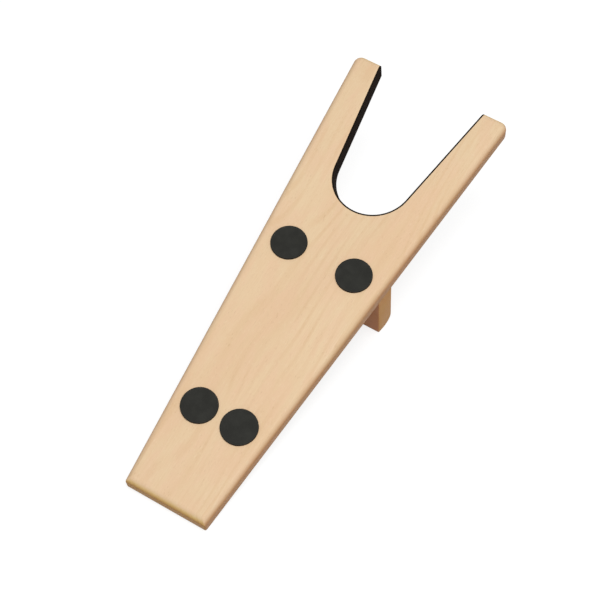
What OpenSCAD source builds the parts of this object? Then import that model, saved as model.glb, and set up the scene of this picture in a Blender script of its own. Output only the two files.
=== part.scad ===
// Boot jack: a forked beech board on a beech leg, with a rubber-lined notch and four rubber pads.
// It stands on the floor at z = 0, as in use. The origin is the middle of the foot's flat,
// +Y points to the fork and +Z points up.

/* [Board] */
// Length of the board along its slope
board_l = 348; // [320:1:380]
// Width of the board across the fork's tips
fork_w = 121; // [112:1:140]
// Width of the board at the tail
tail_w = 59.5; // [56:0.5:80]
// Thickness of the board
board_t = 13; // [11:0.5:20]
// Radius of the rounded top edge
edge_round = 4.75; // [4:0.25:6.5]
// How much larger the radius of the fork's outer corners is, seen from above
tip_extra = 0.75; // [0.5:0.25:3]
// Radius of the eased bottom edge
edge_ease = 1.25; // [0.5:0.25:1.75]
// Slope of the board above the floor, in degrees
slope = 14.5; // [10:0.5:18]

/* [Notch] */
// Width between the wooden walls at the mouth
notch_mouth_w = 83.5; // [72:0.5:92]
// Depth from the fork's tips to the wood at the notch's round end, on the top face
notch_depth = 112.5; // [95:0.5:120]
// Radius of the wood at the notch's round end, square to the cut
notch_end_r = 28.5; // [22:0.5:34]
// How far the cut leans from square to the board, bottom edge towards the fork, in degrees
notch_slant = 16; // [0:1:24]
// Thickness of the rubber strip on the notch's wall
lining_t = 1; // [0.6:0.1:3]
// Width of the chamfer on the tips' inner corners, along each face
mouth_chamfer = 1; // [0.5:0.1:4]

/* [Leg] */
// Distance from the tail to the middle of the leg
leg_y = 198; // [182:1:214]
// Thickness of the leg
leg_t = 15; // [13:0.5:20]
// How far the leg's ends lie inside the board's sides
leg_inset = 0.6; // [0.2:0.1:6]
// Width of the chamfer on the leg's upright edges, along each face
leg_chamfer = 0.7; // [0.3:0.1:2]
// Radius of the foot's edge that faces the fork
foot_front_r = 7.5; // [1:0.5:8]
// Radius of the foot's edge that faces the tail
foot_back_r = 1; // [0.5:0.5:4]

/* [Pads] */
// Diameter of a rubber pad
pad_d = 25; // [20:0.5:28]
// Thickness of a rubber pad
pad_t = 1.5; // [1:0.1:4]
// Radius of a pad's top edge
pad_edge_r = 0.5; // [0.2:0.1:0.8]
// Distance between the centres of the front pads
front_pad_gap = 50; // [30:1:58]
// How far the front pads' centres lie behind the leg's middle
front_pad_back = 4; // [0:0.5:6]
// Distance between the centres of the rear pads
rear_pad_gap = 30; // [28.5:0.5:36]
// Distance from the tail to the rear pads' centres
rear_pad_y = 65.5; // [40:0.5:120]

/* [Leg screws] */
// Diameter over the thread
screw_d = 4; // [3:0.5:5]
// Diameter of the countersunk head
screw_head_d = 8; // [6:0.5:10]
// Length of a screw
screw_l = 40; // [30:1:42]
// Pitch of the thread
thread_pitch = 1.8; // [1.2:0.1:2.5]
// Depth of the thread
thread_depth = 0.6; // [0.3:0.1:0.8]
// Depth of the head's face below the board's face
screw_sink = 0.3; // [0.1:0.1:1]
// Gap between a screw and its hole, on each side
screw_gap = 0.05; // [0.02:0.01:0.2]
// Depth left free under a screw's point
point_gap = 1; // [0.5:0.5:3]

/* [Hidden] */
$fn = 96;
beech = [0.90, 0.79, 0.65];
shaded_beech = [0.72, 0.57, 0.40];
black_rubber = [0.17, 0.16, 0.15];
zinc = [0.74, 0.72, 0.68];
// How far a cut runs past the surface it cuts
over = 1;
// Length of the bars whose crossing gives the board: they run well past its ends
bar_l = 3 * board_l;
// Radius of the fork's outer corners, seen from above
tip_round = edge_round + tip_extra;

// The board's own frame: its origin is the middle of the tail's top edge, before the rounding,
// +Y runs along the board to the fork and +Z stands out of the top face.
side_gain = (fork_w - tail_w) / 2 / board_l;
side_angle = atan(side_gain);
function half_w(y) = tail_w / 2 + y * side_gain;

// The floor in the board's frame: it touches the tail's eased bottom edge, and the foot lies on it.
floor_drop = edge_ease * (1 - sin(slope)) + (board_t - edge_ease) * cos(slope);
function floor_z(y) = -(floor_drop + y * sin(slope)) / cos(slope);

// The notch's own frame: its origin is the middle of the mouth on the top face, and +Z follows the
// slanted cut. Each straight wall runs from the mouth to where it meets the round end without a kink.
notch_end_y = notch_end_r - notch_depth * cos(notch_slant);
mouth_to_end = [notch_mouth_w / 2, -notch_end_y];
wall_angle = atan2(mouth_to_end.x, mouth_to_end.y) - asin(notch_end_r / norm(mouth_to_end));
wall_normal = [cos(wall_angle), -sin(wall_angle)];
along_wall = [sin(wall_angle), cos(wall_angle)];
// Where a straight wall moved inward by inset starts at the round end, and its point at y
function wall_root(inset) = [0, notch_end_y] + (notch_end_r - inset) * wall_normal;
function wall_point(inset, y) = wall_root(inset)
    + (y - wall_root(inset).y) / cos(wall_angle) * along_wall;

leg_back_y = leg_y - leg_t / 2;
leg_front_y = leg_y + leg_t / 2;
leg_inset_x = leg_inset / cos(side_angle);
// The foot's flat lies between its two rounded edges
flat_back_y = leg_back_y + foot_back_r * cos(slope) * tan(45 - slope / 2);
flat_front_y = leg_front_y - foot_front_r * cos(slope) * tan(45 + slope / 2);
foot_y = (flat_back_y + flat_front_y) / 2;

front_pad_y = leg_y - front_pad_back;

head_h = (screw_head_d - screw_d) / 2;
// The head's cross recess
recess_l = screw_head_d / 2;
recess_w = screw_head_d / 9;
recess_depth = 0.75 * head_h;
smooth_l = board_t - screw_sink;
point_l = 2 * thread_pitch;
thread_turns = floor((screw_l - smooth_l - point_l) / thread_pitch);

// Unit vector from a to b
function toward(a, b) = (b - a) / norm(b - a);

// What a corner p between its neighbours a and b loses when it is rounded to radius r
module corner_waste(a, p, b, r) {
    u = toward(p, a);
    v = toward(p, b);
    half = acos(u * v) / 2;
    centre = p + (u + v) / norm(u + v) * r / sin(half);
    difference() {
        polygon([p, p + u * r / tan(half), centre, p + v * r / tan(half)]);
        translate(centre) circle(r);
    }
}

// An outline's points with each corner cut off, by the distance c along both its sides
function chamfered(points, c) = let (n = len(points)) [for (i = [0:n - 1], step = [-1, 1])
    points[i] + c * toward(points[i], points[(i + step + n) % n])];

// Section across the board, from x = 0 to its edge at x = reach: the top face is at y = 0
module edge_section(reach) {
    top = [reach, 0];
    bottom = [reach, -board_t];
    difference() {
        translate([0, -board_t]) square([reach, board_t]);
        corner_waste([0, 0], top, bottom, edge_round);
        corner_waste(top, bottom, [0, -board_t], edge_ease);
    }
}

// A straight stretch of that edge along Y, with the board on its -X side
module edge_bar() {
    translate([-bar_l / 2, bar_l / 2, 0]) rotate([90, 0, 0]) linear_extrude(bar_l)
        edge_section(bar_l / 2);
}

// Places its children at the centre of the right tip's outer corner, with +X square out of the side
module at_tip_corner() {
    centre_y = board_l - tip_round;
    translate([half_w(centre_y) - tip_round / cos(side_angle), centre_y, 0]) rotate(-side_angle)
        children();
}

// The straight edge of the right side, in line with that corner
module side_bar() {
    at_tip_corner() translate([tip_round, 0, 0]) edge_bar();
}

// The block taken off a square corner, between the ends of the two straight edges
module tip_block() {
    side_normal = [2 * tip_round, 0];
    end_normal = [-sin(side_angle), cos(side_angle)] * 2 * tip_round;
    at_tip_corner() translate([0, 0, -board_t - over]) linear_extrude(board_t + 2 * over)
        polygon([[0, 0], side_normal, side_normal + end_normal, end_normal]);
}

// The round piece that takes its place, with the same edge as the sides
module tip_corner() {
    intersection() {
        at_tip_corner() rotate_extrude() edge_section(tip_round);
        tip_block();
    }
}

// The board with its edges rounded, before the notch is sawn
module blank() {
    difference() {
        intersection() {
            side_bar();
            mirror([1, 0, 0]) side_bar();
            rotate(-90) edge_bar();
            translate([0, board_l, 0]) rotate(90) edge_bar();
        }
        tip_block();
        mirror([1, 0, 0]) tip_block();
    }
    tip_corner();
    mirror([1, 0, 0]) tip_corner();
}

// The notch's outline, square to the cut, with its walls moved inward by inset
module notch_outline(inset) {
    root = wall_root(inset);
    mouth = wall_point(inset, over);
    translate([0, notch_end_y]) circle(notch_end_r - inset);
    polygon([[0, notch_end_y], root, mouth, [-mouth.x, mouth.y], [-root.x, root.y]]);
}

// What the chamfers on the tips' inner corners take away, seen from above
module mouth_bevel() {
    tip = wall_point(lining_t, 0);
    start = tip - mouth_chamfer * along_wall;
    // The chamfer's line, carried on past the tip
    end = start + 3 * (tip + [mouth_chamfer, 0] - start);
    polygon([start, end, [-end.x, end.y], [-start.x, start.y]]);
}

// The notch, with its walls moved inward by inset
module notch_cut(inset) {
    below = (board_t + over) / cos(notch_slant);
    above = notch_depth * sin(notch_slant) + over;
    translate([0, board_l, 0]) {
        rotate([notch_slant, 0, 0]) translate([0, 0, -below]) linear_extrude(below + above)
            notch_outline(inset);
        translate([0, 0, -board_t - over]) linear_extrude(board_t + 2 * over) mouth_bevel();
    }
}

// Both sides of the board at the leg's middle, where the screws stand
module at_screws() {
    for (side = [-1, 1])
        translate([side * front_pad_gap / 2, leg_y, -screw_sink]) children();
}

module screw_hole() {
    hole_r = screw_d / 2 + screw_gap;
    rim_r = screw_head_d / 2 + screw_gap + screw_sink + over;
    translate([0, 0, -screw_l - point_gap]) cylinder(h = screw_l, r = hole_r);
    translate([0, 0, hole_r - screw_head_d / 2 - screw_gap])
        cylinder(h = rim_r - hole_r, r1 = hole_r, r2 = rim_r);
}

module pad(x, y) {
    corner = [pad_d / 2, pad_t];
    color(black_rubber) in_use() translate([x, y, 0]) rotate_extrude() difference() {
        square(corner);
        corner_waste([0, pad_t], corner, [corner.x, 0], pad_edge_r);
    }
}

// Countersunk wood screw, its head's face at z = 0
module leg_screw(side) {
    outer_r = screw_d / 2;
    core_r = outer_r - thread_depth;
    thread_end = -smooth_l - thread_turns * thread_pitch;
    thread = [for (i = [0:thread_turns - 1], crest = [0, 1])
        [crest == 1 ? outer_r : core_r, -smooth_l - (i + crest / 2) * thread_pitch]];
    outline = concat(
        [[0, 0], [screw_head_d / 2, 0], [outer_r, -head_h], [outer_r, -smooth_l + thread_depth]],
        thread,
        [[core_r, thread_end], [0, -screw_l]]);
    color(zinc) in_use() translate([side * front_pad_gap / 2, leg_y, -screw_sink]) difference() {
        rotate_extrude() polygon(outline);
        for (turn = [45, 135])
            rotate(turn) cube([recess_l, recess_w, 2 * recess_depth], center = true);
    }
}

module board() {
    color(beech) in_use() difference() {
        blank();
        notch_cut(0);
        at_screws() screw_hole();
    }
}

module notch_lining() {
    color(black_rubber) in_use() intersection() {
        blank();
        difference() {
            notch_cut(0);
            notch_cut(lining_t);
        }
    }
}

module leg() {
    back_x = half_w(leg_back_y) - leg_inset_x;
    front_x = half_w(leg_front_y) - leg_inset_x;
    // Seen from the side: the foot is cut to lie flat on the floor
    side_view = [[leg_back_y, -board_t], [leg_front_y, -board_t],
        [leg_front_y, floor_z(leg_front_y)], [leg_back_y, floor_z(leg_back_y)]];
    // Seen from above: the ends follow the board's sides
    top_view = [[-back_x, leg_back_y], [back_x, leg_back_y],
        [front_x, leg_front_y], [-front_x, leg_front_y]];
    color(shaded_beech) in_use() difference() {
        intersection() {
            rotate([90, 0, 90]) translate([0, 0, -fork_w / 2]) linear_extrude(fork_w) difference() {
                polygon(side_view);
                corner_waste(side_view[1], side_view[2], side_view[3], foot_front_r);
                corner_waste(side_view[2], side_view[3], side_view[0], foot_back_r);
            }
            translate([0, 0, floor_z(leg_front_y) - over]) linear_extrude(-floor_z(leg_front_y))
                polygon(chamfered(top_view, leg_chamfer));
        }
        at_screws() screw_hole();
    }
}

// Stands the board's frame on the floor, with the middle of the foot's flat at the origin
module in_use() {
    rotate([slope, 0, 0]) translate([0, -foot_y, -floor_z(foot_y)]) children();
}

board();
leg();
notch_lining();
pad(-front_pad_gap / 2, front_pad_y);  // pad_front_left
pad(front_pad_gap / 2, front_pad_y);  // pad_front_right
pad(-rear_pad_gap / 2, rear_pad_y);  // pad_rear_left
pad(rear_pad_gap / 2, rear_pad_y);  // pad_rear_right
leg_screw(-1);  // leg_screw_left
leg_screw(1);  // leg_screw_right
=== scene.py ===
# Looks of the boot jack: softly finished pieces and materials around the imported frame.
# Lengths are in millimetres, in the board's own frame, unless a line says otherwise.
import math

import bmesh
import bpy
from mathutils import Matrix, Vector


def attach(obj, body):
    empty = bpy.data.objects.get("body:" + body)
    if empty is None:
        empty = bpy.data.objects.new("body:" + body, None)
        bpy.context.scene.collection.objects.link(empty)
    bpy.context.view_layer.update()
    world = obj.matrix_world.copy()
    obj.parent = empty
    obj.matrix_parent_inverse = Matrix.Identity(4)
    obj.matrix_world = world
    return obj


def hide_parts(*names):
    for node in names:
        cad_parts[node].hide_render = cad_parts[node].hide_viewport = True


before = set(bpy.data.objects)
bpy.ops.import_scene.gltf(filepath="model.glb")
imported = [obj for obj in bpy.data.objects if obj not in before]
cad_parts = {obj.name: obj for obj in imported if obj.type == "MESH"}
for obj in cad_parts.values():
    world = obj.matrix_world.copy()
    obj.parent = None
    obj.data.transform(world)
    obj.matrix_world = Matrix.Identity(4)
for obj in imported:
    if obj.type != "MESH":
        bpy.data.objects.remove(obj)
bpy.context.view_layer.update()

MM = 0.001

# Board, as in the part's source
BOARD_L = 348
FORK_W = 121
TAIL_W = 59.5
BOARD_T = 13
EDGE_ROUND = 4.75
EDGE_EASE = 1.25
SLOPE = math.radians(14.5)
# Radii of the fork's outer corners and of the tail's corners, seen from above
TIP_ROUND = 5.5
TAIL_CORNER_R = 1.2

# Notch and its lining
MOUTH_W = 83.5
NOTCH_DEPTH = 112.5
NOTCH_END_R = 28.5
NOTCH_SLANT = math.radians(16)
LINING_T = 1
MOUTH_CHAMFER = 1
# Radii of the softened edges: wood at the notch, and rubber strip
NOTCH_EASE = 0.3
LINING_EASE = 0.25

# Leg
LEG_Y = 198
LEG_T = 15
LEG_INSET = 0.6
LEG_EASE = 0.8
FOOT_FRONT_R = 7.5
FOOT_BACK_R = 1
# The least radius that is left of a foot corner where the leg's ends are eased
FOOT_LEAST_R = 0.05

# Pads
PAD_R = 12.5
PAD_T = 1.5
PAD_EDGE_R = 0.5
FRONT_PAD_X = 25
FRONT_PAD_Y = 194
REAR_PAD_X = 15
REAR_PAD_Y = 65.5
PADS = {
    "pad_front_left": (-FRONT_PAD_X, FRONT_PAD_Y),
    "pad_front_right": (FRONT_PAD_X, FRONT_PAD_Y),
    "pad_rear_left": (-REAR_PAD_X, REAR_PAD_Y),
    "pad_rear_right": (REAR_PAD_X, REAR_PAD_Y),
}
# Fine rings on a pad's top: their pitch and height, and where they stop
PAD_RING_PITCH = 0.9
PAD_RING_H = 0.07
PAD_RING_OUTER_R = 11.4

# Number of steps in which each shape is cut
EDGE_ROUND_STEPS = 12
EDGE_EASE_STEPS = 6
SOFT_EDGE_STEPS = 4
TAIL_CORNER_STEPS = 8
TIP_STEPS = 12
NOTCH_WALL_STEPS = 18
NOTCH_END_STEPS = 26
LEG_EDGE_STEPS = 5
FOOT_CORNER_STEPS = 8
PAD_STEPS = 128
PAD_EDGE_STEPS = 8
PAD_RING_STEPS = 6
# Faces that meet at a larger angle than this show a sharp edge
CREASE = math.radians(35)
# Points closer than this, in metres, become one
WELD = 1e-6

SIDE_GAIN = (FORK_W - TAIL_W) / 2 / BOARD_L
SIDE_ANGLE = math.atan(SIDE_GAIN)


def half_width(y):
    return TAIL_W / 2 + y * SIDE_GAIN


# The floor in the board's frame: it touches the tail's eased bottom edge and carries the foot
FLOOR_DROP = EDGE_EASE * (1 - math.sin(SLOPE)) + (BOARD_T - EDGE_EASE) * math.cos(SLOPE)


def floor_z(y):
    return -(FLOOR_DROP + y * math.sin(SLOPE)) / math.cos(SLOPE)


# The foot's flat lies between its two rounded corners
LEG_BACK_Y = LEG_Y - LEG_T / 2
LEG_FRONT_Y = LEG_Y + LEG_T / 2
BACK_CUT = FOOT_BACK_R * math.cos(SLOPE) * math.tan((math.pi / 2 - SLOPE) / 2)
FRONT_CUT = FOOT_FRONT_R * math.cos(SLOPE) * math.tan((math.pi / 2 + SLOPE) / 2)
FOOT_Y = ((LEG_BACK_Y + BACK_CUT) + (LEG_FRONT_Y - FRONT_CUT)) / 2

# From the board's frame, in metres, to the row frame
TO_FOOT = Matrix.Translation((0, -FOOT_Y * MM, -floor_z(FOOT_Y) * MM))
IN_USE = Matrix.Rotation(SLOPE, 4, "X") @ TO_FOOT

# Notch, in the frame of its slanted cut: each wall runs from the mouth and meets the round end
NOTCH_END_Y = NOTCH_END_R - NOTCH_DEPTH * math.cos(NOTCH_SLANT)
MOUTH_REACH = math.hypot(MOUTH_W / 2, NOTCH_END_Y)
WALL_ANGLE = math.atan2(MOUTH_W / 2, -NOTCH_END_Y) - math.asin(NOTCH_END_R / MOUTH_REACH)


def ease(depth, radius):
    """How far a rounded edge draws the outline in, at this depth below its face."""
    if depth >= radius:
        return 0.0
    return radius - math.sqrt(radius**2 - (radius - depth) ** 2)


def edge_levels(radius, steps):
    """Depths at which a rounded edge is cut into even steps of its turn."""
    return [radius * (1 - math.cos(i / steps * math.pi / 2)) for i in range(steps + 1)]


def heights(from_top, from_bottom):
    """Heights at which the board or its lining is cut, from depths under its two faces."""
    depths = from_top + [BOARD_T - d for d in from_bottom]
    return [-d for d in sorted({round(d, 4) for d in depths})]


def arc(centre, radius, start, end, steps):
    """Points on an arc from angle start to angle end, both included."""
    angles = [start + (end - start) * i / steps for i in range(steps + 1)]
    return [(centre[0] + radius * math.cos(a), centre[1] + radius * math.sin(a)) for a in angles]


def between(a, b, share):
    """The point that lies this share of the way from a to b."""
    return (a[0] + share * (b[0] - a[0]), a[1] + share * (b[1] - a[1]))


def wall_root(inset):
    """Where a wall moved inward by inset meets the round end, in the cut's frame."""
    r = NOTCH_END_R - inset
    return (r * math.cos(WALL_ANGLE), NOTCH_END_Y - r * math.sin(WALL_ANGLE))


def wall_x(inset, y, z):
    """Half width between the walls at a point of the board, inset inward from the wood."""
    cut_y = (y - BOARD_L) * math.cos(NOTCH_SLANT) + z * math.sin(NOTCH_SLANT)
    root = wall_root(inset)
    return root[0] + (cut_y - root[1]) * math.tan(WALL_ANGLE)


def notch_side(inset, z, mouth_y):
    """Right half of the notch's outline at height z, from mouth_y to the middle of the round end."""

    def to_board(x, cut_y):
        return (x, BOARD_L + (cut_y - z * math.sin(NOTCH_SLANT)) / math.cos(NOTCH_SLANT))

    root = to_board(*wall_root(inset))
    # The mouth's chamfer, upright: it takes over from the wall where the two lines cross
    tip_x = wall_x(LINING_T, BOARD_L, 0)
    start_x = tip_x - MOUTH_CHAMFER * math.sin(WALL_ANGLE)
    start = (start_x, BOARD_L - MOUTH_CHAMFER * math.cos(WALL_ANGLE))
    end = (tip_x + MOUTH_CHAMFER, BOARD_L)
    gap_start = start[0] - wall_x(inset, start[1], z)
    gap_end = end[0] - wall_x(inset, end[1], z)
    cross = between(start, end, gap_start / (gap_start - gap_end))
    if mouth_y > cross[1]:
        share = (mouth_y - start[1]) / (end[1] - start[1])
        first = (between(start, end, share)[0], mouth_y)
    else:
        cross = (wall_x(inset, mouth_y, z), mouth_y)
        first = cross
    wall = [between(cross, root, i / NOTCH_WALL_STEPS) for i in range(NOTCH_WALL_STEPS)]
    centre = (0, NOTCH_END_Y)
    turn = arc(centre, NOTCH_END_R - inset, -WALL_ANGLE, -math.pi / 2, NOTCH_END_STEPS)
    return [first] + wall + [to_board(*p) for p in turn]


def board_side(z):
    """Right half of the board's outline at height z, from the tail to the notch's round end."""
    inset = ease(-z, EDGE_ROUND) + ease(BOARD_T + z, EDGE_EASE)
    softened = ease(-z, NOTCH_EASE) + ease(BOARD_T + z, NOTCH_EASE)
    tail_y = inset + TAIL_CORNER_R
    tail_x = half_width(tail_y) - (inset + TAIL_CORNER_R) / math.cos(SIDE_ANGLE)
    tip_y = BOARD_L - TIP_ROUND
    tip_x = half_width(tip_y) - TIP_ROUND / math.cos(SIDE_ANGLE)
    side = [(0, inset), (tail_x / 2, inset)]
    side += arc((tail_x, tail_y), TAIL_CORNER_R, -math.pi / 2, -SIDE_ANGLE, TAIL_CORNER_STEPS)
    side += arc((tip_x, tip_y), TIP_ROUND - inset, -SIDE_ANGLE, math.pi / 2, TIP_STEPS)
    return side + notch_side(-softened, z, BOARD_L - inset)


def both_halves(side):
    """A whole line from its right half, whose last point lies on the middle line."""
    return side + [(-x, y) for x, y in reversed(side[:-1])]


def walls(loops):
    """The points of loops of equal length, and the faces between each loop and the next."""
    count = len(loops[0])
    verts = [p for loop in loops for p in loop]
    faces = []
    for a in range(0, len(verts) - count, count):
        b = a + count
        for i in range(count):
            j = (i + 1) % count
            faces.append((a + i, a + j, b + j, b + i))
    return verts, faces


def stacked(loops):
    """A solid whose outline is given level by level."""
    verts, faces = walls(loops)
    count = len(loops[0])
    faces.append(tuple(range(count)))
    faces.append(tuple(range(len(verts) - 1, len(verts) - count - 1, -1)))
    return verts, faces


def piece(name, verts, faces, material, slot, node):
    """A finished piece in the board's frame that stands for a CAD node."""
    mesh = bpy.data.meshes.new(name)
    mesh.from_pydata([IN_USE @ (Vector(v) * MM) for v in verts], [], faces)
    work = bmesh.new()
    work.from_mesh(mesh)
    bmesh.ops.remove_doubles(work, verts=work.verts, dist=WELD)
    bmesh.ops.recalc_face_normals(work, faces=work.faces)
    work.to_mesh(mesh)
    work.free()
    mesh.shade_smooth()
    mesh.set_sharp_from_angle(angle=CREASE)
    mesh.materials.append(material)
    made = bpy.data.objects.new(name, mesh)
    bpy.context.scene.collection.objects.link(made)
    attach(made, "root")
    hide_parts(node)


def make_board(material):
    """The board: its outline, with the notch, at each height."""
    soft = edge_levels(NOTCH_EASE, SOFT_EDGE_STEPS)
    from_top = edge_levels(EDGE_ROUND, EDGE_ROUND_STEPS) + soft
    from_bottom = edge_levels(EDGE_EASE, EDGE_EASE_STEPS) + soft
    loops = []
    for z in heights(from_top, from_bottom):
        # The half begins on the middle line too, so its last mirrored point would be there twice
        loops.append([(x, y, z) for x, y in both_halves(board_side(z))[:-1]])
    piece("forked_board", *stacked(loops), material, "beech", "board")


def make_lining(material):
    """The strip: at each height it runs along its inner side and back along the wood."""
    soft = edge_levels(LINING_EASE, SOFT_EDGE_STEPS)
    from_top = [d for d in edge_levels(EDGE_ROUND, EDGE_ROUND_STEPS) if d > LINING_EASE]
    from_bottom = [d for d in edge_levels(EDGE_EASE, EDGE_EASE_STEPS) if d > LINING_EASE]
    loops = []
    for z in heights(soft + from_top, soft + from_bottom):
        mouth_y = BOARD_L - ease(-z, EDGE_ROUND) - ease(BOARD_T + z, EDGE_EASE)
        softened = ease(-z, LINING_EASE) + ease(BOARD_T + z, LINING_EASE)
        inner = both_halves(notch_side(LINING_T - softened, z, mouth_y))
        outer = both_halves(notch_side(0, z, mouth_y))
        loops.append([(x, y, z) for x, y in inner + outer[::-1]])
    verts, faces = walls(loops)
    # The top and the bottom are closed by a row of quads between the two sides
    count = len(loops[0])
    for base, way in ((0, 1), (len(verts) - count, -1)):
        for i in range(count // 2 - 1):
            quad = (base + i, base + i + 1, base + count - 2 - i, base + count - 1 - i)
            faces.append(quad[::way])
    piece("notch_lining_strip", verts, faces, material, "lining_rubber", "notch_lining")


def make_pad(name, centre, material):
    """A round pad, turned from its section, with fine rings pressed into its top."""
    section = [(0, 0), (PAD_R, 0)]
    edge_centre = (PAD_R - PAD_EDGE_R, PAD_T - PAD_EDGE_R)
    section += arc(edge_centre, PAD_EDGE_R, 0, math.pi / 2, PAD_EDGE_STEPS)
    steps = int(PAD_RING_OUTER_R / PAD_RING_PITCH * PAD_RING_STEPS)
    for i in range(steps, 0, -1):
        r = PAD_RING_OUTER_R * i / steps
        wave = math.cos(2 * math.pi * (PAD_RING_OUTER_R - r) / PAD_RING_PITCH)
        section.append((r, PAD_T - PAD_RING_H * (0.5 - 0.5 * wave)))
    section.append((0, PAD_T))
    loops = []
    for r, z in section:
        turn = arc(centre, r, 0, 2 * math.pi, PAD_STEPS)[:-1]
        loops.append([(x, y, z) for x, y in turn])
    piece(name + "_disc", *walls(loops), material, "pad_rubber", name)


def leg_outline(inset):
    """The leg seen from the side, as (y, z) points, drawn in by inset."""
    back = LEG_BACK_Y + inset
    front = LEG_FRONT_Y - inset
    top = -BOARD_T - inset
    lift = inset / math.cos(SLOPE)
    foot_turn = 1.5 * math.pi - SLOPE
    corners = (
        (back, 1, FOOT_BACK_R, math.pi, foot_turn),
        (front, -1, FOOT_FRONT_R, foot_turn, 2 * math.pi),
    )
    outline = [(back, top)]
    # Each rounded corner's centre lies at its radius from the leg's face and from the sloping foot
    for face_y, way, corner_r, start, end in corners:
        radius = max(corner_r - inset, FOOT_LEAST_R)
        y = face_y + way * radius
        centre = (y, floor_z(y) + lift + radius / math.cos(SLOPE))
        outline += arc(centre, radius, start, end, FOOT_CORNER_STEPS)
    return outline + [(front, top)]


def make_leg(material):
    """The leg: its side view again and again from the right end to the left, both ends eased."""
    turns = [i / LEG_EDGE_STEPS * math.pi / 2 for i in range(LEG_EDGE_STEPS + 1)]
    loops = []
    for way, end_turns in ((1, turns), (-1, turns[::-1])):
        for turn in end_turns:
            outline = leg_outline(LEG_EASE * (1 - math.sin(turn)))
            off = LEG_INSET / math.cos(SIDE_ANGLE) + LEG_EASE * (1 - math.cos(turn))
            loops.append([(way * (half_width(y) - off), y, z) for y, z in outline])
    piece("leg_block", *stacked(loops), material, "beech", "leg")


def new_material(name):
    """An empty node material, its tree, and its output's surface socket."""
    made = bpy.data.materials.new(name)
    made.use_nodes = True
    tree = made.node_tree
    tree.nodes.clear()
    output = tree.nodes.new("ShaderNodeOutputMaterial")
    return made, tree, output.inputs["Surface"]


def add(tree, kind, settings=None, **inputs):
    """A new node. Inputs go by name or as i and a number: a socket is linked, a value is set."""
    made = tree.nodes.new("ShaderNode" + kind)
    for key, value in (settings or {}).items():
        setattr(made, key, value)
    for key, value in inputs.items():
        by_number = key[0] == "i" and key[1:].isdigit()
        socket = made.inputs[int(key[1:]) if by_number else key.replace("_", " ")]
        if isinstance(value, bpy.types.NodeSocket):
            tree.links.new(value, socket)
        else:
            socket.default_value = value
    return made


def maths(tree, operation, a, b=0.0):
    return add(tree, "Math", {"operation": operation}, i0=a, i1=b).outputs[0]


def blend(tree, factor, a, b, mode="MIX"):
    made = add(tree, "Mix", {"data_type": "RGBA", "blend_type": mode}, i0=factor, i6=a, i7=b)
    return made.outputs[2]


def band(tree, value, low, high, to_low=0.0, to_high=1.0):
    """A soft step: it goes from to_low to to_high while the value goes from low to high."""
    soft = {"interpolation_type": "SMOOTHSTEP"}
    made = add(tree, "MapRange", soft, i0=value, i1=low, i2=high, i3=to_low, i4=to_high)
    return made.outputs[0]


def noise(tree, vector, cell, offset=(0, 0, 0), detail=2.0, roughness=0.5, distortion=0.0):
    """A noise whose cells measure cell, in millimetres, along each axis of vector."""
    scale = [1 / (size * MM) for size in cell]
    place = add(tree, "Mapping", Vector=vector, Location=offset, Scale=scale).outputs[0]
    shape = {"Detail": detail, "Roughness": roughness, "Distortion": distortion}
    return add(tree, "TexNoise", Vector=place, Scale=1.0, **shape).outputs["Fac"]


def turned(tree, vector, angles):
    """A direction turned by these angles about the axes."""
    normal = {"vector_type": "NORMAL"}
    return add(tree, "Mapping", normal, Vector=vector, Rotation=angles).outputs[0]


def board_place(tree):
    """Coordinates in the board's frame, in metres: the meshes stand in the row frame."""
    place = add(tree, "TexCoord").outputs["Object"]
    shift = (0, FOOT_Y * MM, floor_z(FOOT_Y) * MM)
    moved = add(tree, "Mapping", Vector=place, Rotation=(-SLOPE, 0, 0), Location=shift)
    return moved.outputs[0]


# A face turns into a side, which gets painted shade, while the share of its direction that points up
# falls through the first pair, and into end grain while the share along the grain grows through the
# second
SHADE_SIDE_BAND = (0.95, 0.1)
END_BAND = (0.35, 0.9)


def turned_shares(tree, turn):
    """How far a face turns from the board's top to its sides, which get painted shade, and from long
    grain to end grain.
    """
    normal = add(tree, "TexCoord").outputs["Normal"]
    in_board = turned(tree, normal, (-SLOPE, 0, 0))
    in_grain = turned(tree, in_board, turn)
    up_part = maths(tree, "ABSOLUTE", add(tree, "SeparateXYZ", Vector=in_board).outputs[2])
    grain_part = maths(tree, "ABSOLUTE", add(tree, "SeparateXYZ", Vector=in_grain).outputs[1])
    return band(tree, up_part, *SHADE_SIDE_BAND), band(tree, grain_part, *END_BAND)


# Beech: the colours of its parts
BEECH_PALE = (0.825, 0.620, 0.395, 1)
BEECH_WARM = (0.800, 0.555, 0.340, 1)
BEECH_PINK = (0.830, 0.560, 0.370, 1)
BEECH_RING = (0.745, 0.505, 0.290, 1)
BEECH_FLECK = (0.500, 0.290, 0.140, 1)
BEECH_LIGHT_RAY = (0.890, 0.730, 0.520, 1)
# What the colour is multiplied by: all over, on faces turned away from the top (painted shade), and
# on end grain
BOARD_TONES_AND_SHADE = ((1, 1, 1, 1), (0.78, 0.56, 0.38, 1), (1.02, 1.02, 0.66, 1))
# On the leg the darker, warmer all-over tone is painted shade too, and its end-grain tone lightens
# its ends back out of the side's painted shade
LEG_TONES_AND_SHADE = ((0.96, 0.84, 0.70, 1), (0.84, 0.50, 0.31, 1), (1.07, 1.39, 1.12, 1))
# Grain: its turn, where the pith's line runs (x and z, once turned), and a shift of its noises
BOARD_GRAIN = ((0, 0, 0), (-36, -118), 3.1)
LEG_GRAIN = ((0, 0, math.pi / 2), (330, -40), 8.7)
# Growth rings: their pitch, and how far the noise bends them
GROWTH_RING = 2.6
GROWTH_BEND = 22
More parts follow.
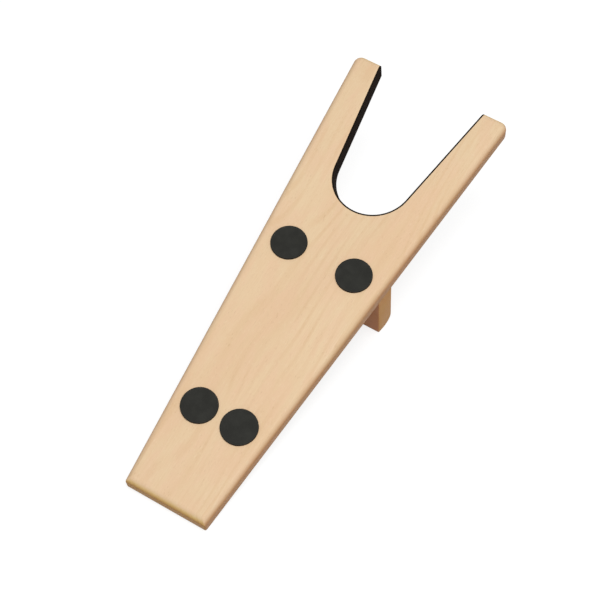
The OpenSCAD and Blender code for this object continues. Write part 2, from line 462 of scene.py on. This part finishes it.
# Cells of the noises, in the grain's frame: each is longest along the grain
BEND_CELL = (60, 170, 60)
RING_CELL = (18, 60, 18)
DRIFT_CELL = (34, 90, 34)
MOTTLE_CELL = (9, 28, 9)
FIBRE_CELL = (0.7, 26, 0.7)
RAY_CELL = (0.5, 2.8, 0.5)
RAY_PATCH_CELL = (7, 22, 7)
LIGHT_RAY_CELL = (0.5, 3.4, 0.5)
# Bands: two values of a noise, and what it is turned into at them (0 and 1 where not given)
RING_LINE_BAND = (0.1, 1.0)
RING_BAND = (0.35, 0.7, 0.10, 0.55)
DRIFT_BAND = (0.35, 0.65, 0.0, 0.75)
MOTTLE_BAND = (0.40, 0.62, 0.0, 0.45)
FIBRE_BAND = (0.35, 0.70, 0.0, 0.30)
RAY_BAND = (0.58, 0.74)
RAY_PATCH_BAND = (0.35, 0.65, 0.25, 1.0)
LIGHT_RAY_BAND = (0.60, 0.72)
WOOD_ROUGH_BAND = (0.3, 0.7, 0.46, 0.60)
# Shares of the dark and light rays in the colour, and of fibres and dark rays in the bump
RAY_SHARE = 0.34
LIGHT_RAY_SHARE = 0.28
FIBRE_HEIGHT = 0.6
RAY_DEPTH = 0.5
# Strength and height of the bump, and gloss
WOOD_BUMP = 0.35
WOOD_BUMP_H = 0.06
WOOD_GLOSS = 0.22


def beech(name, grain_set, tones_and_shade):
    """Beech with its grain along the Y axis and its growth rings about the pith's line."""
    turn, pith, seed = grain_set
    all_over, side_shade_tone, end_tone = tones_and_shade
    made, tree, surface = new_material(name)
    grain = add(tree, "Mapping", Vector=board_place(tree), Rotation=turn).outputs[0]
    # Growth rings: distance from the pith's line, bent slowly along the grain
    bend = noise(tree, grain, BEND_CELL, (seed, 0, 0), 1.0)
    parts = add(tree, "SeparateXYZ", Vector=grain).outputs
    across = maths(tree, "SUBTRACT", parts[0], pith[0] * MM)
    deep = maths(tree, "SUBTRACT", parts[2], pith[1] * MM)
    squares = [maths(tree, "MULTIPLY", part, part) for part in (across, deep)]
    radius = maths(tree, "SQRT", maths(tree, "ADD", *squares))
    radius = maths(tree, "ADD", radius, maths(tree, "MULTIPLY", bend, GROWTH_BEND * MM))
    turns = maths(tree, "MULTIPLY", radius, 2 * math.pi / (GROWTH_RING * MM))
    ring_lines = band(tree, maths(tree, "SINE", turns), *RING_LINE_BAND)
    ring_strength = band(tree, noise(tree, grain, RING_CELL, (0, seed, 0)), *RING_BAND)
    # Slow drift of tone, mottles, fibres, and the short rays, dark and light, that mark beech
    drift = noise(tree, grain, DRIFT_CELL, (0, 0, seed), 3.0)
    mottle = noise(tree, grain, MOTTLE_CELL, (seed, seed, 5))
    fibre = noise(tree, grain, FIBRE_CELL, (seed, seed, 0), 3.0, 0.6)
    ray = noise(tree, grain, RAY_CELL, (seed, 0, seed), 2.0, 0.5, 0.6)
    ray_patch = noise(tree, grain, RAY_PATCH_CELL, (0, seed, seed))
    rays = band(tree, ray, *RAY_BAND)
    rays = maths(tree, "MULTIPLY", rays, band(tree, ray_patch, *RAY_PATCH_BAND))
    light_ray = noise(tree, grain, LIGHT_RAY_CELL, (3, seed, 7), 1.0)
    light_rays = band(tree, light_ray, *LIGHT_RAY_BAND)
    layers = (
        (band(tree, drift, *DRIFT_BAND), BEECH_WARM),
        (band(tree, mottle, *MOTTLE_BAND), BEECH_PINK),
        (maths(tree, "MULTIPLY", ring_lines, ring_strength), BEECH_RING),
        (band(tree, fibre, *FIBRE_BAND), BEECH_RING),
        (maths(tree, "MULTIPLY", rays, RAY_SHARE), BEECH_FLECK),
        (maths(tree, "MULTIPLY", light_rays, LIGHT_RAY_SHARE), BEECH_LIGHT_RAY),
    )
    colour = BEECH_PALE
    for share, tint in layers:
        colour = blend(tree, share, colour, tint)
    # Faces turned away from the top get the darker side tone: painted shade
    side, end = turned_shares(tree, turn)
    for share, tone in ((side, side_shade_tone), (end, end_tone), (1.0, all_over)):
        colour = blend(tree, share, colour, tone, "MULTIPLY")
    high = maths(tree, "MULTIPLY", fibre, FIBRE_HEIGHT)
    height = maths(tree, "SUBTRACT", high, maths(tree, "MULTIPLY", rays, RAY_DEPTH))
    rough = band(tree, fibre, *WOOD_ROUGH_BAND)
    bump = add(tree, "Bump", Strength=WOOD_BUMP, Distance=WOOD_BUMP_H * MM, Height=height)
    shader = add(tree, "BsdfPrincipled", Base_Color=colour, Roughness=rough,
                 Normal=bump.outputs[0], Specular_IOR_Level=WOOD_GLOSS)
    tree.links.new(shader.outputs[0], surface)
    return made


# Rubber: colour, colour of its pale bloom, roughness and gloss
LINING_LOOK = ((0.009, 0.007, 0.005, 1), (0.018, 0.013, 0.009, 1), 0.8, 0.03)
PAD_LOOK = ((0.018, 0.018, 0.015, 1), (0.025, 0.025, 0.021, 1), 0.55, 0.12)
# Painted shade: what the colour of rubber is multiplied by on its sides, which face away from the
# top
RUBBER_SIDE_SHADE = (0.75, 0.42, 0.25, 1)
BLOOM_CELL = (6, 6, 6)
BLOOM_BAND = (0.35, 0.75)
TOOTH_CELL = (0.25, 0.25, 0.25)
TOOTH_BAND = (0.3, 0.7)
# How far the tooth makes the roughness go up and down
TOOTH_SWING = 0.07
RUBBER_BUMP = 0.4
RUBBER_BUMP_H = 0.03


def rubber(name, look):
    """Dark matt rubber with a fine tooth, a paler bloom in patches, and painted shade on its sides.
    """
    colour, bloom_colour, roughness, gloss = look
    made, tree, surface = new_material(name)
    place = board_place(tree)
    bloom = noise(tree, place, BLOOM_CELL, detail=4.0)
    tooth = noise(tree, place, TOOTH_CELL)
    tint = blend(tree, band(tree, bloom, *BLOOM_BAND), colour, bloom_colour)
    # The sides of the pads and the lining's wall are darkened and browned: painted shade
    side = turned_shares(tree, (0, 0, 0))[0]
    tint = blend(tree, side, tint, RUBBER_SIDE_SHADE, "MULTIPLY")
    rough = band(tree, tooth, *TOOTH_BAND, roughness - TOOTH_SWING, roughness + TOOTH_SWING)
    bump = add(tree, "Bump", Strength=RUBBER_BUMP, Distance=RUBBER_BUMP_H * MM, Height=tooth)
    shader = add(tree, "BsdfPrincipled", Base_Color=tint, Roughness=rough,
                 Normal=bump.outputs[0], Specular_IOR_Level=gloss)
    tree.links.new(shader.outputs[0], surface)
    return made


ZINC_DARK = (0.60, 0.58, 0.54, 1)
ZINC_LIGHT = (0.66, 0.65, 0.62, 1)
ZINC_CELL = (0.2, 0.2, 3)
ZINC_ROUGH_BAND = (0.3, 0.7, 0.28, 0.42)


def zinc():
    """Zinc-plated steel with faint marks."""
    made, tree, surface = new_material("screw_steel")
    marks = noise(tree, board_place(tree), ZINC_CELL, detail=3.0)
    tint = blend(tree, marks, ZINC_DARK, ZINC_LIGHT)
    rough = band(tree, marks, *ZINC_ROUGH_BAND)
    shader = add(tree, "BsdfPrincipled", Base_Color=tint, Roughness=rough, Metallic=1.0)
    tree.links.new(shader.outputs[0], surface)
    return made


board_wood = beech("beech_board", BOARD_GRAIN, BOARD_TONES_AND_SHADE)
leg_wood = beech("beech_leg", LEG_GRAIN, LEG_TONES_AND_SHADE)
lining_material = rubber("lining_rubber", LINING_LOOK)
pad_material = rubber("pad_rubber", PAD_LOOK)
screw_material = zinc()

make_board(board_wood)
make_leg(leg_wood)
make_lining(lining_material)
for pad_name, pad_centre in PADS.items():
    make_pad(pad_name, pad_centre, pad_material)
for screw_name in ("leg_screw_left", "leg_screw_right"):
    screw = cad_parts[screw_name]
    screw.data.materials.clear()
    screw.data.materials.append(screw_material)


# Stage: a white floor that keeps the shadow, a white surround and one lamp. Lengths are in metres.
FLOOR_REACH = 4.0
FLOOR_GREY = 0.32
FLOOR_GLOW = 0.78
SURROUND_LEVEL = 0.32
KEY_PLACE = (0.32, -0.45, 1.6)
KEY_AIM = (0, 0, 0.05)
KEY_SIZE = 1.0
KEY_LEVEL = 0.74
WHITE = (1, 1, 1, 1)


def shown_share(tree):
    """1 for what the camera sees, also in or through a surface, and 0 for light on its way."""
    ray = add(tree, "LightPath").outputs
    shown = maths(tree, "MAXIMUM", ray["Is Camera Ray"], ray["Is Glossy Ray"])
    return maths(tree, "MAXIMUM", shown, ray["Is Transmission Ray"])


def make_floor():
    """A floor that keeps the shadow. It glows only where it is seen, so that it looks white."""
    made, tree, surface = new_material("floor_white")
    matt = add(tree, "BsdfDiffuse", Color=(FLOOR_GREY, FLOOR_GREY, FLOOR_GREY, 1)).outputs[0]
    glow = add(tree, "Emission", Color=WHITE, Strength=FLOOR_GLOW).outputs[0]
    both = add(tree, "AddShader", i0=matt, i1=glow).outputs[0]
    mixed = add(tree, "MixShader", i0=shown_share(tree), i1=matt, i2=both)
    tree.links.new(mixed.outputs[0], surface)
    mesh = bpy.data.meshes.new("floor")
    signs = ((-1, -1), (1, -1), (1, 1), (-1, 1))
    corners = [(FLOOR_REACH * x, FLOOR_REACH * y, 0) for x, y in signs]
    mesh.from_pydata(corners, [], [(0, 1, 2, 3)])
    mesh.materials.append(made)
    floor = bpy.data.objects.new("floor", mesh)
    bpy.context.scene.collection.objects.link(floor)


def make_world():
    """A surround that looks white and lights softly."""
    world = bpy.data.worlds.new("studio")
    bpy.context.scene.world = world
    world.use_nodes = True
    tree = world.node_tree
    tree.nodes.clear()
    soft = add(tree, "Background", Color=WHITE, Strength=SURROUND_LEVEL).outputs[0]
    white = add(tree, "Background", Color=WHITE, Strength=1.0).outputs[0]
    mixed = add(tree, "MixShader", i0=shown_share(tree), i1=soft, i2=white)
    output = tree.nodes.new("ShaderNodeOutputWorld")
    tree.links.new(mixed.outputs[0], output.inputs["Surface"])


def make_lamp():
    """A square soft lamp, which adds about KEY_LEVEL to what a white face turned to it shows."""
    data = bpy.data.lights.new("key", "AREA")
    data.shape = "SQUARE"
    data.size = KEY_SIZE
    away = Vector(KEY_PLACE) - Vector(KEY_AIM)
    data.energy = KEY_LEVEL * math.pi**2 * away.length_squared
    lamp = bpy.data.objects.new("key", data)
    lamp.location = KEY_PLACE
    lamp.rotation_mode = "QUATERNION"
    lamp.rotation_quaternion = away.to_track_quat("Z", "Y")
    bpy.context.scene.collection.objects.link(lamp)


# The photograph's viewpoint, found by fitting the board's outline: in metres, in the board's frame
CAMERA_EYE = (0.26492, -0.20054, 0.94574)
CAMERA_AIM = (0.00289, 0.16140, 0)
CAMERA_ROLL = math.radians(8.045)
# Focal length and width of the picture in the camera, in millimetres
CAMERA_LENS = 95.53
CAMERA_SENSOR = 36


def make_camera():
    eye = IN_USE @ Vector(CAMERA_EYE)
    aim = IN_USE @ Vector(CAMERA_AIM)
    data = bpy.data.cameras.new("camera")
    data.sensor_width = CAMERA_SENSOR
    data.lens = CAMERA_LENS
    camera = bpy.data.objects.new("camera", data)
    camera.rotation_mode = "QUATERNION"
    camera.location = eye
    look = (aim - eye).to_track_quat("-Z", "Y").to_matrix()
    camera.rotation_quaternion = (look @ Matrix.Rotation(CAMERA_ROLL, 3, "Z")).to_quaternion()
    bpy.context.scene.collection.objects.link(camera)
    bpy.context.scene.camera = camera


make_floor()
make_world()
make_lamp()
make_camera()
bpy.context.scene.view_settings.view_transform = "Standard"
